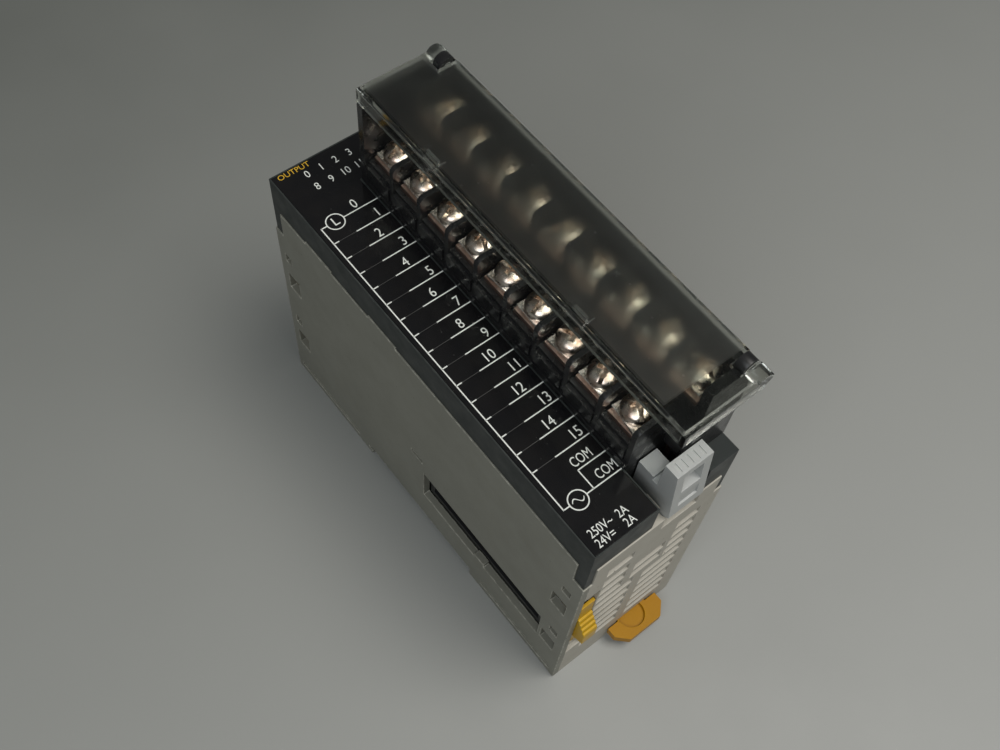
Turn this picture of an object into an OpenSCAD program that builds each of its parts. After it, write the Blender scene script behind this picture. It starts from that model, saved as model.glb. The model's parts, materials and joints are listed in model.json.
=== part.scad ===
// Relay output module of a modular controller. It stands on its rail side, with its label and its
// terminal block facing up. X is its width along the rail, Y its height and Z its depth.

/* [Case] */
// Width along the rail
body_w = 31; // [31:1:44]
// Height between the lower and the upper end
body_h = 90; // [90:1:120]
// Depth from the back face to the label face
body_d = 65; // [65:1:90]
// Thickness of the case and cap walls
wall = 1.6; // [1.4:0.1:2]
// Thickness of the left side panel
panel_t = 1.5; // [1.3:0.1:1.8]
// Thickness of the back wall
back_t = 2.5; // [2.4:0.1:3]
// Depth of the front cap
cap_depth = 7.5; // [7:0.5:8]
// How far the cap's outer faces stand back from the case's
cap_inset = 0.25; // [0.1:0.05:0.3]
// How far the corner legs of the cap reach below its edge
cap_leg = 6.5; // [4:0.5:8]
// Clearance around pieces that are fitted in the case
gap = 0.1; // [0.05:0.05:0.15]

/* [Rail] */
// Width of the mounting rail
rail_w = 35; // [30:1:35]
// Depth of the rail channel
channel_depth = 2.4; // [2:0.1:2.4]
// Thickness of the lips that hold the rail
lip_t = 1.1; // [0.9:0.1:1.2]
// How far the lips reach over the rail
lip_reach = 1.2; // [0.8:0.1:1.5]
// Width of the latch's inner plate
latch_w = 7.2; // [5:0.1:8]
// Thickness of the latch
latch_t = 2.1; // [1.8:0.1:2.2]
// How far the latch slides
latch_travel = 4; // [3:0.5:4]

/* [Terminals] */
// Distance between terminals of one row
pitch = 7.75; // [6.4:0.05:7.75]
// Number of terminals in each row
terminals = 9; // [4:1:9]
// Width of the terminal block
block_w = 17.3; // [17.3:0.1:19]
// Height of the lower row's floor above the label face
lower_floor = 6; // [5:0.5:7]
// Height of the upper row's floor above the label face
upper_floor = 15; // [14:0.5:15]
// Thickness of the ribs between terminals
rib_t = 1; // [0.8:0.1:1.2]
// Space between a clamp plate and the ribs beside it
plate_gap = 0.45; // [0.35:0.05:0.6]
// How much smaller than its clamp plate a screw's head is
head_inset = 0.1; // [0.1:0.05:0.3]
// Height of the terminal screws' heads
head_h = 2.2; // [1.8:0.1:2.4]
// Diameter of the terminal screws' thread
thread_d = 3; // [2.5:0.1:3.2]
// Thickness of the clamp plates
plate_t = 0.8; // [0.6:0.1:1]
// Thickness of the terminal bars
bar_t = 1; // [0.8:0.1:1.2]

/* [Cover] */
// Height of the cover's top above the label face
cover_rise = 23; // [23:0.5:25]
// Thickness of the cover plate
cover_t = 1.2; // [1:0.1:1.4]
// Depth of the cover's edge strips
cover_skirt = 3; // [2:0.5:3]
// Radius of the cover's hinge pins
hinge_r = 0.8; // [0.7:0.05:1]
// Outer radius of the hinge lugs
lug_r = 1.7; // [1.6:0.1:1.8]

/* [Release lever] */
// Width of the lever
lever_w = 7.6; // [7:0.1:8.5]
// Height of the lever above the label face
lever_rise = 6; // [4:0.5:7]
// Radius of the lever's pivot pins
pivot_r = 1; // [0.8:0.1:1.2]

/* [Lock sliders] */
// Width of a slider
slider_w = 3.2; // [2.8:0.1:3.4]
// How far the thumb tab stands out
tab_reach = 2.4; // [1.5:0.1:3]
// How far a slider moves
slider_travel = 6; // [4:0.5:6]

/* [Electronics] */
// Length of a relay
relay_l = 17.5; // [15:0.5:18]
// Width of a relay
relay_w = 6.5; // [5:0.1:6.5]
// Height of a relay
relay_h = 12.5; // [10:0.5:12.5]
// Thickness of the circuit boards
board_t = 1.6; // [1:0.2:1.6]
// Length of the bus connectors
bus_l = 35.6; // [30:0.1:35.6]
// Height of the bus connectors
bus_h = 9.2; // [8:0.1:9.2]

/* [Hidden] */
RELAYS = [for (i = [1:16]) str("relay_", i < 10 ? "0" : "", i)];

$fn = 48;
// Overshoot of cuts, so that no cut ends on a face
eps = 0.5;

// Case faces
x_hi = body_w / 2;
x_lo = -x_hi;
y_hi = body_h / 2;
y_lo = -y_hi;
panel_x = x_lo + panel_t;
case_top = body_d - cap_depth;
leg_x = 1.9;
leg_y = 2.6;
seam = 0.05;

// Rail channel and latch
channel_y = rail_w / 2 + 0.3;
pad_y = channel_y + 1.5;
latch_x = 4.5;
latch_z = back_t + 0.4;
slide_gap = 0.3;
latch_tab_w = latch_w + 5.4;
latch_tab_l = 4.4;
latch_out = 0.2;
nose_t = 1.2;
bridge_y = [y_lo + 7, y_lo + 15];
bridge_l = 3;

// Vents and snap tabs
vent_z = 9.6;
vent_pitch = 4.2;
vent_h = 2.9;
vent_rise = 1.2;
panel_tabs = [y_hi - 19.1, y_hi - 38.6];
panel_tab_l = 8.2;
slit_y = -1.5;
slit_z = 25.2;

// Terminal block
block_x1 = x_hi - 0.2;
block_x0 = block_x1 - block_w;
block_y0 = y_lo + 4;
lower_y0 = y_lo + 8.6;
first_upper = y_lo + 9.125;
first_lower = first_upper + pitch / 2;
last_lower = first_lower + pitch * (terminals - 1);
far_wall = last_lower + pitch / 2 - rib_t / 2;
block_y1 = far_wall + 1.5;
// Clamp plates fill the space between two ribs, and the screws' heads go with them
plate_w = pitch - rib_t - 2 * plate_gap;
head_d = plate_w - head_inset;
upper_wall_t = 1.4;
lower_x = block_x0 + 2.05 + plate_w / 2;
upper_x = block_x1 - upper_wall_t - 0.55 - plate_w / 2;
step_x = lower_x + plate_w / 2 + plate_gap;
seat_z = body_d + 0.3;
lower_z = body_d + lower_floor;
upper_z = body_d + upper_floor;
lower_rib_z = lower_z + 5.3;
upper_rib_z = body_d + cover_rise - 1.7;
base_z = body_d - 7.8;
base_x0 = block_x0 + 0.4;
base_x1 = x_hi - wall - 0.3;
well_x0 = block_x0 + 0.1;
well_x1 = x_hi - wall;
well_y0 = lower_y0 - 0.2;
well_y1 = block_y1 + 0.1;
blade_t = 0.8;
blade_w = 2.4;
bore_r = thread_d / 2 + 0.2;
bore_depth = 7;
lower_blade_x = lower_x + bore_r + 0.2;
upper_blade_x = upper_x - bore_r - 0.2 - blade_t;
// Each plate and screw stands a little turned, as they come to rest when tightened
plate_turn = 78 * plate_gap / plate_w;
plate_turns = [-1, 0, 0.5, -0.4, 0.7, -0.2, 0.3, -0.6, 0.1];
first_turn = 35;
turn_step = 67;

// Cover and its hinge
cover_z = body_d + cover_rise;
cover_y0 = y_lo + 1.1;
hinge_x = block_x1 - lug_r;
hinge_z = cover_z - 0.7;
lug_w = 1.9;
far_lug = block_y1 - 4.1;
hinge_gap = 0.05;
sweep_r = 2.3;

// Lever
lever_x0 = block_x0 + 3;
lever_x1 = lever_x0 + lever_w;
lever_z = body_d + lever_rise;
pivot_y = y_lo + wall + pivot_r + 0.15;
pivot_z = case_top - 0.3;
hub_r = 1.9;
cheek_t = 1.3;
side_gap = 0.2;

// Sliders and the holes for a neighbour's hooks
slider_x0 = panel_x + 0.15;
slider_mid = 28.5;
tab_h = 9;
strip_z0 = slider_mid - tab_h / 2 - 3.8;
recess_depth = 0.8;
recess_z0 = strip_z0 - slider_travel - 0.7;
recess_z1 = slider_mid + 15;
hook_z = [12.4, 33.4];
hook_h = 5;
peg_z = [20.6, 42.4];
hook_y = y_hi - 5.8;
hook_w = 3.7;

// Indicators
led_pitch = 3;
led_rows = [y_hi - wall - 5.1, y_hi - wall - 1.8];
led_x1 = x_hi - wall - 2.05;
led_x0 = led_x1 - 7 * led_pitch;
led_board_z = case_top - 0.1;
label_t = 0.8;
rim = cap_inset + 0.3;

// Boards
main_x = -6;
bus_x = -8.7;
main_z0 = 21.5;
bus_z0 = 5;
bus_z1 = 30;
board_y = y_hi - wall - 0.3;
guide_l = 2;
guide_y = y_hi - wall - guide_l;
main_face = main_x + board_t;
socket_z0 = case_top - 6.1;
socket_z1 = base_z - 0.3;
bus_y = -20.15;
bus_z = 16.6;
contact_pitch = 2;
contacts = 15;
strip_w = 0.8;
strip_t = 0.4;
tongue_h = bus_h / 2 - 1.8;
socket_x = panel_x + seam;
key_w = 3;
key_h = 0.6;
chip_leg_pitch = 1.27;
chip_leg_w = 0.4;
driver_y = 23;
isolator_z = 26;
relay_gap_y = 1.1;
relay_gap_z = 0.5;
relay_foot = 0.8;

// A box between two corners
module block(a, b) {
    translate(a)
        cube(b - a);
}

// The same shape at the lower and at the upper end
module both_ends() {
    children();
    mirror([0, 1, 0])
        children();
}

// An outline drawn in Y and Z, extruded along X from x0 to x1
module along_x(x0, x1) {
    translate([x0, 0, 0])
        rotate([90, 0, 90])
            linear_extrude(x1 - x0)
                children();
}

// An outline drawn in X and Z, extruded along Y from y0 to y1
module along_y(y0, y1) {
    translate([0, y1, 0])
        rotate([90, 0, 0])
            linear_extrude(y1 - y0)
                children();
}

// A round bar along Y
module rod_y(x, z, r, y0, y1) {
    translate([x, y0, z])
        rotate([-90, 0, 0])
            cylinder(r = r, h = y1 - y0);
}

// A round bar along X
module rod_x(y, z, r, x0, x1) {
    translate([x0, y, z])
        rotate([0, 90, 0])
            cylinder(r = r, h = x1 - x0);
}

// ---------------------------------------------------------------- case

// Corner space that a cap leg fills, at the lower left corner
module leg_space(extra) {
    block([x_lo - eps, y_lo - eps, case_top - cap_leg - extra],
          [x_lo + leg_x + extra, y_lo + leg_y + extra, case_top + eps]);
}

module all_corners() {
    both_ends() {
        children();
        mirror([1, 0, 0])
            children();
    }
}

// Sloping ventilation slot through the lower end wall
module vent(x0, x1, z) {
    along_x(x0, x1)
        polygon([
            [y_lo - eps, z], [y_lo - eps, z + vent_h],
            [y_lo + wall + eps, z + vent_h + vent_rise], [y_lo + wall + eps, z + vent_rise]
        ]);
}

// Two fields of vents, with a narrow one between them higher up
module vents() {
    field_x0 = slider_x0 + slider_w + 0.5;
    field_x1 = x_hi - 4;
    for (i = [0:5]) {
        vent(field_x0, -0.8, vent_z + i * vent_pitch);
        vent(1.8, field_x1, vent_z - 2 + i * vent_pitch);
    }
    for (i = [6:8])
        vent(field_x0, -4.3, vent_z + i * vent_pitch);
    for (i = [6:7])
        vent(-2.3, 4.9, vent_z + i * vent_pitch);
    for (i = [6:9])
        vent(6.1, field_x1, vent_z - 2 + i * vent_pitch);
    vent(field_x0, -4.3, case_top - 9);
}

// Recess and slot that a lock slider runs in
module slider_way() {
    block([panel_x - eps, y_lo - eps, recess_z0],
          [slider_x0 + slider_w + 0.15, y_lo + recess_depth, recess_z1]);
    block([panel_x - eps, y_lo - eps, recess_z0 + 1], [panel_x + 2.3, y_lo + wall + eps, recess_z1 - 1]);
}

// Upright ribs that hold the edges of both circuit boards
module board_guide() {
    block([bus_x - 1, y_lo + wall - eps, 0], [main_face + 1, -guide_y, case_top - 1]);
}

module board_slots() {
    block([bus_x - seam, -board_y - gap, bus_z0 - seam], [bus_x + board_t + seam, board_y + gap, case_top]);
    block([main_x - seam, -board_y - gap, main_z0 - seam], [main_face + seam, board_y + gap, case_top]);
}

// Cheek that carries one end of the lever's pivot
module lever_cheek(x0) {
    block([x0, y_lo + wall - eps, case_top - 7.5], [x0 + cheek_t, pivot_y + 2, case_top]);
    block([x0, y_lo + wall, case_top - 1], [x0 + cheek_t, pivot_y + 2, pivot_z + 2]);
}

// Hooks and pegs that hold the next module on the right
module neighbour_hooks() {
    for (z = hook_z) {
        block([x_hi - eps, hook_y + 0.3, z + 0.8], [x_hi + 2.4, hook_y + hook_w - 0.3, z + 2.2]);
        block([x_hi + 1.6, hook_y + 0.3, z + 0.8], [x_hi + 2.4, hook_y + hook_w - 0.3, z + 4]);
    }
    for (z = peg_z)
        block([x_hi - eps, hook_y + 2, z + 0.3], [x_hi + 1.5, hook_y + hook_w - 0.3, z + 1.9]);
}

// Space for the latch: a slot in the end wall and an opening for its nose
module latch_way() {
    x0 = latch_x - latch_w / 2 - slide_gap;
    x1 = latch_x + latch_w / 2 + slide_gap;
    block([x0, y_lo - eps, latch_z - slide_gap], [x1, -channel_y, latch_z + latch_t + slide_gap]);
    block([x0, -channel_y - nose_t - latch_travel - slide_gap, -eps], [x1, -channel_y, latch_z + eps]);
}

module latch_guides() {
    x0 = latch_x - latch_w / 2 - slide_gap;
    x1 = latch_x + latch_w / 2 + slide_gap;
    top = latch_z + latch_t + slide_gap;
    for (x = [x0 - 1.2, x1]) {
        block([x, y_lo + wall - eps, back_t - eps], [x + 1.2, -pad_y - 2, top + 0.8]);
    }
    for (y = bridge_y) {
        block([x0 - 1.2, y, top], [x0 + 1.2, y + bridge_l, top + 0.8]);
        block([x1 - 1.2, y, top], [x1 + 1.2, y + bridge_l, top + 0.8]);
    }
}

module rail_channel() {
    block([x_lo - eps, -channel_y, -eps], [x_hi + eps, channel_y - lip_reach, channel_depth]);
    block([x_lo - eps, 0, lip_t], [x_hi + eps, channel_y, channel_depth]);
}

module case_shell() {
    color("#bcb9ac")
    difference() {
        union() {
            block([x_hi - wall, y_lo, 0], [x_hi, y_hi, case_top]);
            block([panel_x, y_lo, 0], [x_hi, y_hi, back_t]);
            block([panel_x, -pad_y, 0], [x_hi, pad_y, channel_depth + 1.4]);
            both_ends() {
                block([panel_x, y_lo, 0], [x_hi, y_lo + wall, case_top]);
                board_guide();
                mirror([0, 1, 0])
                    neighbour_hooks();
            }
            lever_cheek(lever_x0 - side_gap - cheek_t);
            lever_cheek(lever_x1 + side_gap);
            difference() {
                latch_guides();
                block([x_lo, -pad_y - 2.5, 0], [x_hi, 0, case_top]);
            }
        }
        rail_channel();
        latch_way();
        both_ends() {
            vents();
            slider_way();
        }
        all_corners()
            leg_space(seam);
        board_slots();
        // Notch that the lever swings through, and the bores of its pivot
        block([lever_x0 - side_gap, y_lo - eps, case_top - 4],
              [lever_x1 + side_gap, y_lo + wall + eps, case_top + eps]);
        rod_x(pivot_y, pivot_z, pivot_r + 0.05, lever_x0 - 4, lever_x1 + 4);
        // Window of the bus plug
        block([x_hi - wall - eps, bus_y - bus_l / 2 + 1.6 - gap, bus_z - bus_h / 2 + 1.8 - gap],
              [x_hi + eps, bus_y + bus_l / 2 - 1.6 + gap, bus_z + bus_h / 2 - 1.8 + gap]);
    }
}

module side_panel() {
    color("#7d7c72")
    difference() {
        union() {
            block([x_lo, y_lo, 0], [panel_x, y_hi, case_top - seam]);
            // Snap tabs along the upper edge
            for (y = panel_tabs)
                block([x_lo, y, case_top - 1], [panel_x, y + panel_tab_l, case_top + 0.6]);
        }
        rail_channel();
        all_corners()
            leg_space(seam);
        // Bus socket opening
        difference() {
            block([x_lo - eps, bus_y - bus_l / 2 - 0.35, bus_z - bus_h / 2 - 0.3],
                  [panel_x + eps, bus_y + bus_l / 2 + 0.35, bus_z + bus_h / 2 + 0.3]);
            // Key in the middle of its lower edge
            block([x_lo, bus_y - key_w / 2, bus_z - bus_h / 2 - 1],
                  [panel_x, bus_y + key_w / 2, bus_z - bus_h / 2 + key_h]);
        }
        both_ends() {
            mirror([0, 1, 0]) {
                for (z = hook_z)
                    block([x_lo - eps, hook_y, z], [panel_x + eps, hook_y + hook_w, z + hook_h]);
                for (z = peg_z)
                    block([x_lo - eps, hook_y + 1.7, z], [panel_x + eps, hook_y + hook_w, z + 2.4]);
            }
        }
        // Small slit above the bus opening, and the grooves along the back edge
        block([x_lo - eps, slit_y, slit_z], [x_lo + 0.6, slit_y + 3.6, slit_z + 1.1]);
        both_ends()
            block([x_lo - eps, y_lo + 1.6, 1.6], [x_lo + 0.5, y_lo + 23.5, 3]);
    }
}

// Outline of the label face: a strip beside the terminal block and a strip across the upper end
module label_outline(extra) {
    x0 = x_lo + rim - extra;
    x1 = block_x0 - 0.2 + extra;
    polygon([
        [x0, y_lo + rim - extra], [x1, y_lo + rim - extra], [x1, block_y1 + rim - extra],
        [x_hi - rim + extra, block_y1 + rim - extra], [x_hi - rim + extra, y_hi - rim + extra],
        [x0, y_hi - rim + extra]
    ]);
}

module led_places() {
    for (y = led_rows)
        for (i = [0:7])
            translate([led_x0 + i * led_pitch, y, 0])
                children();
}

module front_cap() {
    skirt = 1;
    skirt_z = case_top + 0.7;
    // Clears the lever, and the first blade of the upper row
    lever_side = max(lever_x1 + side_gap + 0.1, upper_blade_x + blade_t + 0.2);
    color("#4a4b4a")
    difference() {
        union() {
            difference() {
                block([x_lo + cap_inset, y_lo + cap_inset, case_top],
                      [x_hi - cap_inset, y_hi - cap_inset, body_d]);
                block([x_lo + wall, y_lo + wall, case_top - eps], [x_hi - wall, y_hi - wall, body_d - wall]);
            }
            all_corners()
                block([x_lo + cap_inset, y_lo + cap_inset, case_top - cap_leg],
                      [x_lo + leg_x, y_lo + leg_y, case_top + 1]);
            // Walls of the well that the terminal block sits in
            block([well_x0 - skirt, y_lo + wall, skirt_z], [well_x0, well_y1 + skirt, body_d - 1]);
            block([well_x0 - skirt, well_y1, skirt_z], [well_x1 + eps, well_y1 + skirt, body_d - 1]);
            block([lever_side, y_lo + 1, pivot_z + 2.4], [lever_side + skirt, well_y0, body_d - 1]);
        }
        block([well_x0, well_y0, case_top - eps], [well_x1, well_y1, body_d + eps]);
        block([well_x0, y_lo - eps, case_top - eps], [lever_side, well_y0 + eps, body_d + eps]);
        translate([0, 0, body_d - label_t])
            linear_extrude(label_t + eps)
                label_outline(seam);
        led_places()
            translate([0, 0, body_d - wall - eps])
                cylinder(r = 1, h = wall + 2 * eps, $fn = 32);
        for (y = panel_tabs)
            block([x_lo - eps, y - seam, case_top - eps],
                  [panel_x + seam, y + panel_tab_l + seam, case_top + 0.65]);
    }
}

module label_panel() {
    color("#0b0b0c")
    translate([0, 0, body_d - label_t])
        linear_extrude(label_t)
            label_outline(0);
}

// ---------------------------------------------------------------- indicators

module light_guide() {
    base = body_d - 4.6;
    color("#dfe8ea", 0.6)
    union() {
        block([led_x0 - 1.6, led_rows[0] - 1.5, base], [led_x1 + 1.6, led_rows[1] + 1.5, base + 1]);
        for (x = [led_x0 - 1.6, led_x1 + 1.1])
            block([x, led_rows[0] - 1.5, led_board_z + 1], [x + 0.5, led_rows[1] + 1.5, base + 0.5]);
        led_places()
            translate([0, 0, base + 0.5])
                cylinder(r = 0.9, h = body_d - label_t - seam - base - 0.5, $fn = 32);
    }
}

module led_board() {
    color("#1f6b3a")
    block([led_x0 - 2, led_rows[0] - 1.8, led_board_z], [led_x1 + 1.6, led_rows[1] + 1.6, led_board_z + 1]);
}

module indicator_leds() {
    color("#f4f0d8")
    led_places()
        block([-0.8, -0.4, led_board_z + 1], [0.8, 0.4, led_board_z + 1.7]);
}

module led_header() {
    color("#161616")
    block([main_face, led_rows[0] - 1.5, led_board_z - 2.5], [main_face + 2.5, guide_y - 0.2, led_board_z]);
}

// ---------------------------------------------------------------- boards

module main_board() {
    color("#1f6b3a")
    difference() {
        block([main_x, -board_y, main_z0], [main_face, board_y, led_board_z - 0.4]);
        both_ends()
            rod_x(board_y - 6, main_z0 + 3.2, 1.2, main_x - eps, main_face + eps);
    }
}

module bus_board() {
    color("#1f6b3a")
    block([bus_x, -board_y, bus_z0], [bus_x + board_t, board_y, bus_z1]);
}

module board_link() {
    color("#161616")
    block([bus_x + board_t, 6, main_z0 + 2], [main_x, 26, main_z0 + 5]);
}

// Chip on the left face of the bus board, with legs along two sides
module chip(place, length, width, height) {
    legs = floor(length / 1.3);
    reach = width / 2 + 0.9;
    translate([bus_x, place[0], place[1]])
        union() {
            block([-height, -length / 2, -width / 2], [-0.15, length / 2, width / 2]);
            for (i = [0:legs - 1])
                translate([0, (i - (legs - 1) / 2) * chip_leg_pitch, 0])
                    block([-height / 2, -chip_leg_w / 2, -reach], [0, chip_leg_w / 2, reach]);
        }
}

module bus_controller() {
    color("#202022")
    chip([9, 17.5], 12, 10, 1.8);
}

module relay_driver_1() {
    color("#202022")
    chip([driver_y, 12], 10, 4, 1.6);
}

module relay_driver_2() {
    color("#202022")
    chip([driver_y, 23], 10, 4, 1.6);
}

module isolator_1() {
    color("#202022")
    chip([-10, isolator_z], 5, 4, 2);
}

module isolator_2() {
    color("#202022")
    chip([-20, isolator_z], 5, 4, 2);
}

module reservoir_capacitor() {
    can_r = 2.5;
    foot = can_r + 0.1;
    color("#9fa4a8")
    translate([bus_x, 35, 13])
        union() {
            rod_x(0, 0, can_r, -4.6, -0.5);
            block([-0.8, -foot, -foot], [0, foot, foot]);
        }
}

module clock_crystal() {
    color("#b9bdc0")
    chip([34, 24], 4, 2.5, 1.4);
}

// Plastic case with a stepped base, standing on the main board
module relay(i) {
    y = (i % 4 - 1.5) * (relay_l + relay_gap_y);
    z = main_z0 + 0.7 + floor(i / 4) * (relay_w + relay_gap_z);
    color("#23272b")
    union() {
        block([main_face + relay_foot, y - relay_l / 2, z],
              [main_face + relay_h, y + relay_l / 2, z + relay_w]);
        block([main_face, y - relay_l / 2 + 0.4, z + 0.4],
              [main_face + 1, y + relay_l / 2 - 0.4, z + relay_w - 0.4]);
    }
}

// ---------------------------------------------------------------- bus connectors

module strip_places() {
    for (i = [0:contacts - 1])
        translate([0, bus_y + (i - (contacts - 1) / 2) * contact_pitch, 0])
            children();
}

// Grooves or strips above and below the middle of a connector, at a distance h
module strips(x0, x1, h, extra) {
    strip_places()
        for (side = [-1, 1])
            translate([0, 0, bus_z + side * (h + strip_t / 2)])
                block([x0, -strip_w / 2 - extra, -strip_t / 2 - extra],
                      [x1, strip_w / 2 + extra, strip_t / 2 + extra]);
}

module bus_socket() {
    color("#1a1a1b")
    difference() {
        block([socket_x, bus_y - bus_l / 2, bus_z - bus_h / 2],
              [bus_x, bus_y + bus_l / 2, bus_z + bus_h / 2]);
        block([x_lo - eps, bus_y - bus_l / 2 + 1.35, bus_z - tongue_h - 0.3],
              [x_lo + 5, bus_y + bus_l / 2 - 1.35, bus_z + tongue_h + 0.3]);
        strips(socket_x + 0.6, bus_x + eps, tongue_h + 0.3, seam);
    }
}

module bus_socket_contacts() {
    color("#d8b765")
    strips(socket_x + 0.7, bus_x, tongue_h + 0.3, 0);
}

module bus_plug() {
    color("#1a1a1b")
    difference() {
        union() {
            block([x_hi - wall - 2.5, bus_y - bus_l / 2, bus_z - bus_h / 2],
                  [x_hi - wall, bus_y + bus_l / 2, bus_z + bus_h / 2]);
            block([x_hi - wall - 1, bus_y - bus_l / 2 + 1.6, bus_z - tongue_h],
                  [x_hi + 4.5, bus_y + bus_l / 2 - 1.6, bus_z + tongue_h]);
        }
        strips(x_hi - wall - 3, x_hi + 4.1, tongue_h - strip_t, seam);
    }
}

module bus_plug_contacts() {
    color("#d8b765")
    strips(bus_x + board_t, x_hi + 4, tongue_h - strip_t, 0);
}

// ---------------------------------------------------------------- terminal block

module lower_places() {
    for (k = [0:terminals - 1]) {
        $place = k;
        translate([lower_x, first_lower + k * pitch, lower_z])
            children();
    }
}

module upper_places() {
    for (k = [0:terminals - 1]) {
        $place = k;
        translate([upper_x, first_upper + k * pitch, upper_z])
            children();
    }
}

// Housing on the main board that the block plugs into
module terminal_socket() {
    color("#1a1a1b")
    difference() {
        block([main_face, lower_y0 - 3, socket_z0], [base_x1, block_y1 - 0.5, socket_z1]);
        for (k = [0:terminals - 1]) {
            fork_space(lower_blade_x, first_lower + k * pitch);
            fork_space(upper_blade_x, first_upper + k * pitch);
        }
    }
}

module fork_space(x, y) {
    block([x - 0.5, y - blade_w / 2 - 0.2, socket_z0 - eps],
          [x + blade_t + 0.5, y + blade_w / 2 + 0.2, socket_z1 + eps]);
}

// Spring fork that grips one blade, with a tail to the main board
module fork(x, y) {
    union() {
        for (leaf = [x - 0.4, x + blade_t + 0.1])
            block([leaf, y - blade_w / 2, socket_z0 - 0.4], [leaf + 0.3, y + blade_w / 2, socket_z1 - 0.6]);
        block([x - 0.4, y - blade_w / 2, socket_z0 - 0.5],
              [x + blade_t + 0.4, y + blade_w / 2, socket_z0 - 0.1]);
        block([main_face, y - 0.4, socket_z0 - 0.5], [x, y + 0.4, socket_z0 - 0.1]);
    }
}

module socket_contacts() {
    color("#d8b765")
    for (k = [0:terminals - 1]) {
        fork(lower_blade_x, first_lower + k * pitch);
        fork(upper_blade_x, first_upper + k * pitch);
    }
}

// Rib between two lower terminals, rounded at its outer end
module lower_rib(y) {
    r = 1.2;
    along_y(y - rib_t / 2, y + rib_t / 2)
        union() {
            translate([block_x0 + 0.4 + r, lower_rib_z - r])
                circle(r = r);
            translate([block_x0 + 0.4, seat_z])
                square([2 * r, lower_rib_z - r - seat_z]);
            translate([block_x0 + 0.4 + r, seat_z])
                square([step_x - block_x0 - r, lower_rib_z - seat_z]);
        }
}

// Rib between two upper terminals, rounded where the wires enter from the left
module upper_rib(y) {
    r = 1.2;
    bottom = upper_z - 1;
    along_y(y - rib_t / 2, y + rib_t / 2)
        union() {
            translate([step_x + r, upper_rib_z - r])
                circle(r = r);
            translate([step_x, bottom])
                square([2 * r, upper_rib_z - r - bottom]);
            translate([step_x + r, bottom])
                square([block_x1 - step_x - r, upper_rib_z - bottom]);
        }
}

// Lug of the block that carries a hinge pin of the cover
module hinge_lug(y0, y1) {
    rod_y(hinge_x, hinge_z, lug_r, y0, y1);
    along_y(y0, y1)
        polygon([
            [hinge_x - lug_r, hinge_z], [hinge_x + lug_r, hinge_z],
            [hinge_x + lug_r, upper_z - 1], [hinge_x - 3, upper_z - 1]
        ]);
}

module block_body() {
    color("#141416")
    difference() {
        union() {
            difference() {
                union() {
                    block([base_x0, lower_y0, base_z], [base_x1, block_y1 - 0.2, seat_z + 0.5]);
                    block([block_x0 + 0.8, lower_y0, seat_z], [step_x + 1, block_y1, lower_z]);
                    block([block_x0, lower_y0, seat_z], [block_x0 + 2, block_y1, seat_z + 1.2]);
                    block([step_x, block_y0, seat_z], [block_x1, block_y1, upper_z]);
                    block([block_x1 - upper_wall_t, block_y0, upper_z - 1],
                          [block_x1, block_y1, upper_rib_z]);
                    // End walls and the closed bay beside the upper row
                    block([step_x, block_y0, upper_z - 1], [block_x1, block_y0 + 1.4, upper_rib_z]);
                    block([block_x0, far_wall, seat_z], [step_x + 1, block_y1, cover_z - cover_skirt - 0.4]);
                    block([block_x0 + 1.5, far_wall, seat_z], [block_x1, block_y1, upper_rib_z]);
                    block([step_x, last_lower, upper_z - 1], [block_x1, block_y1, upper_rib_z - 2.5]);
                    for (k = [0:terminals - 1])
                        lower_rib(first_lower + (k - 0.5) * pitch);
                    for (k = [0:terminals])
                        upper_rib(first_upper + (k - 0.5) * pitch);
                    // Lips under the wire entries of the lower row
                    lower_places()
                        block([block_x0 - lower_x, -0.42 * pitch, -3.6],
                              [block_x0 - lower_x + 1.2, 0.42 * pitch, -0.8]);
                }
                // Room for the cover's hinge side to turn
                rod_y(hinge_x, hinge_z, sweep_r, block_y0 - eps, block_y1 + eps);
            }
            hinge_lug(block_y0, block_y0 + lug_w);
            hinge_lug(far_lug, far_lug + lug_w);
        }
        rod_y(hinge_x, hinge_z, hinge_r + hinge_gap, block_y0 - eps, block_y1 + eps);
        lower_places()
            translate([0, 0, -bore_depth])
                cylinder(r = bore_r, h = bore_depth + eps);
        upper_places()
            translate([0, 0, -bore_depth])
                cylinder(r = bore_r, h = bore_depth + eps);
        lower_places()
            blade_way(lower_blade_x - lower_x, base_z - lower_z);
        upper_places()
            blade_way(upper_blade_x - upper_x, base_z - upper_z);
    }
}

module blade_way(x, z) {
    block([x - seam, -blade_w / 2 - seam, z - eps], [x + blade_t + seam, blade_w / 2 + seam, eps]);
}

// Pan head screw with a crossed slot, its thread reaching into the block
module terminal_screw() {
    under = bar_t + plate_t;
    rotate([0, 0, first_turn + turn_step * $place])
    difference() {
        union() {
            translate([0, 0, -5])
                cylinder(d = thread_d - 0.1, h = 5 + under + 0.1);
            translate([0, 0, under])
                rotate_extrude()
                    polygon([
                        [0, 0], [head_d / 2, 0], [head_d / 2, head_h * 0.45],
                        [head_d / 2 - 0.35, head_h * 0.8], [head_d / 2 - 0.9, head_h], [0, head_h]
                    ]);
        }
        translate([0, 0, under + head_h - 1]) {
            block([-head_d / 2 + 0.3, -0.4, 0], [head_d / 2 - 0.3, 0.4, 2]);
            block([-0.5, -1.4, -0.3], [0.5, 1.4, 2]);
        }
    }
}

module lower_screws() {
    color("#cfc6b6")
    lower_places()
        terminal_screw();
}

module upper_screws() {
    color("#cfc6b6")
    upper_places()
        terminal_screw();
}

// Square plate under a screw head that presses on the wire
module clamp_plate() {
    translate([0, 0, bar_t])
        rotate([0, 0, plate_turn * plate_turns[$place]])
        difference() {
            block([-plate_w / 2, -plate_w / 2, 0], [plate_w / 2, plate_w / 2, plate_t]);
            translate([0, 0, -eps])
                cylinder(r = bore_r, h = plate_t + 2 * eps);
        }
}

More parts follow.
